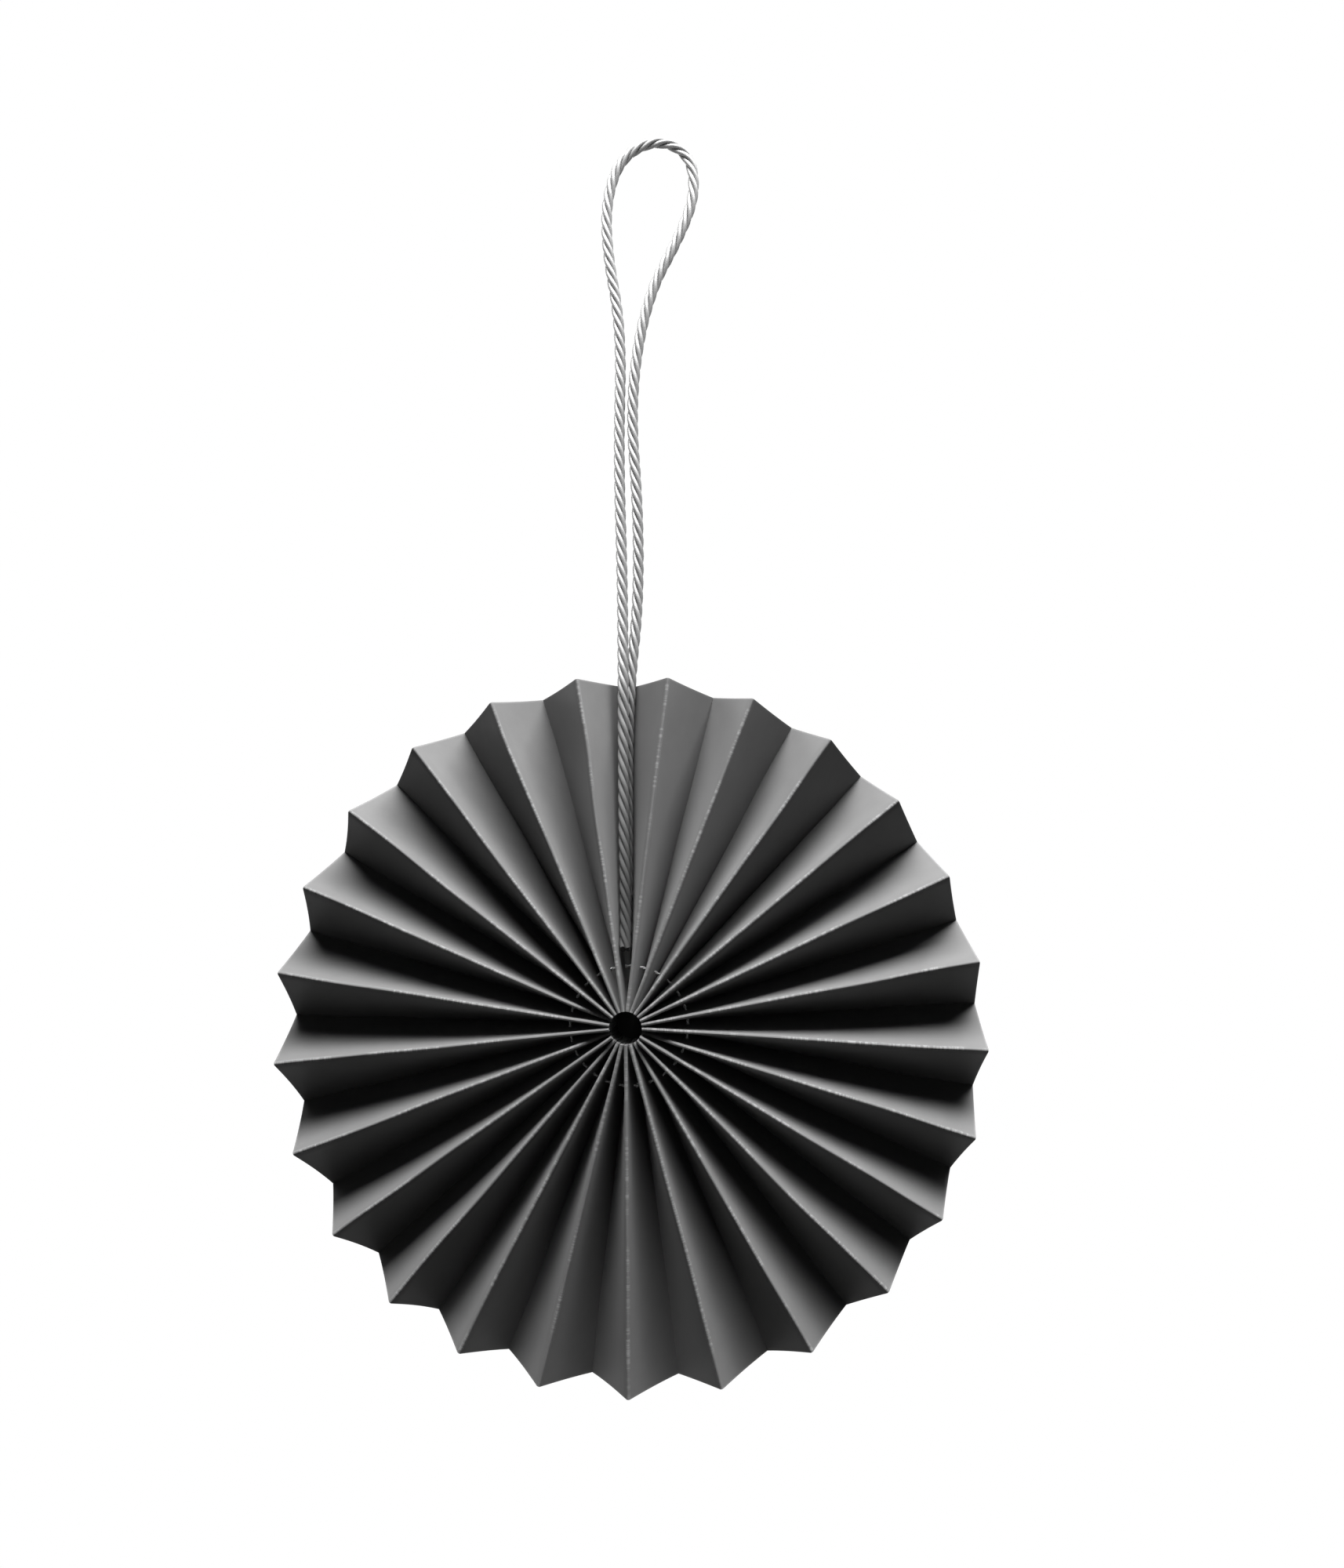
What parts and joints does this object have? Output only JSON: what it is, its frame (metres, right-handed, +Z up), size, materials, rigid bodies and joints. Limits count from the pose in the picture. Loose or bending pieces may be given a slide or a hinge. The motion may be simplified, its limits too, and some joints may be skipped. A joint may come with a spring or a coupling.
{
  "type": "paper fan rosette ornament",
  "caption": "Pleated black paper rosette, gathered round a small hole by a thin thread, on a twisted silver hanging loop.",
  "frame": {"origin": "inside top of the cord loop, where the ornament hangs", "axes": "+Z up along the hanging loop, -Y towards the viewer out of the rosette's front, +X to the viewer's right"},
  "size_m": [0.1002, 0.0127, 0.1859],
  "materials": {
    "black_paper": "matt dyed paper with worn grey fold lines",
    "silver_thread": "thin silver thread",
    "silver_cord": "twisted silver cord with a satin sheen"
  },
  "bodies": {
    "root": {"pleated_paper": "black_paper", "back_disc": "black_paper", "binding_thread": "silver_thread", "hanging_cord": "silver_cord"}
  },
  "joints": []
}
